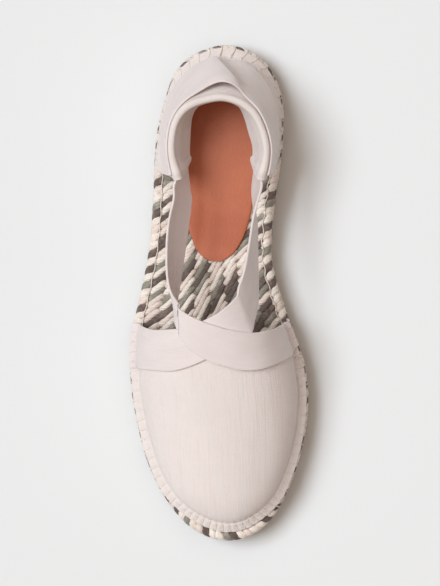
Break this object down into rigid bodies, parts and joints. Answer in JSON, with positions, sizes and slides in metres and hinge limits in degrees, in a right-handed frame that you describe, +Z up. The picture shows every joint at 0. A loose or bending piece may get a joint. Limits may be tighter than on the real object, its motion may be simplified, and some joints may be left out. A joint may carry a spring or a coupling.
{
  "type": "espadrille",
  "caption": "Flat closed-toe espadrille with a rope sole, canvas toe and heel, and elastic straps that cross over the instep.",
  "frame": {"origin": "on the floor, under the middle of the sole", "axes": "+Z up, +Y towards the heel, -Y towards the toe, +X towards the inner (medial) side of the right foot"},
  "size_m": [0.0902, 0.25, 0.0638],
  "materials": {
    "sole_rubber": "matt tan rubber sheet",
    "rope": "braided rope in cream, grey green, dark brown and pale pink strands",
    "sock_leather": "smooth terracotta leather, slightly satin",
    "canvas": "natural off-white canvas with slubs along the foot",
    "elastic": "finely ribbed off-white elastic webbing"
  },
  "bodies": {
    "root": {"outsole": "sole_rubber", "jute_sole": "rope", "insole": "sock_leather", "upper_vamp": "canvas", "upper_counter": "canvas", "heel_band": "elastic", "strap_upper": "elastic", "strap_lower": "elastic"}
  },
  "joints": []
}
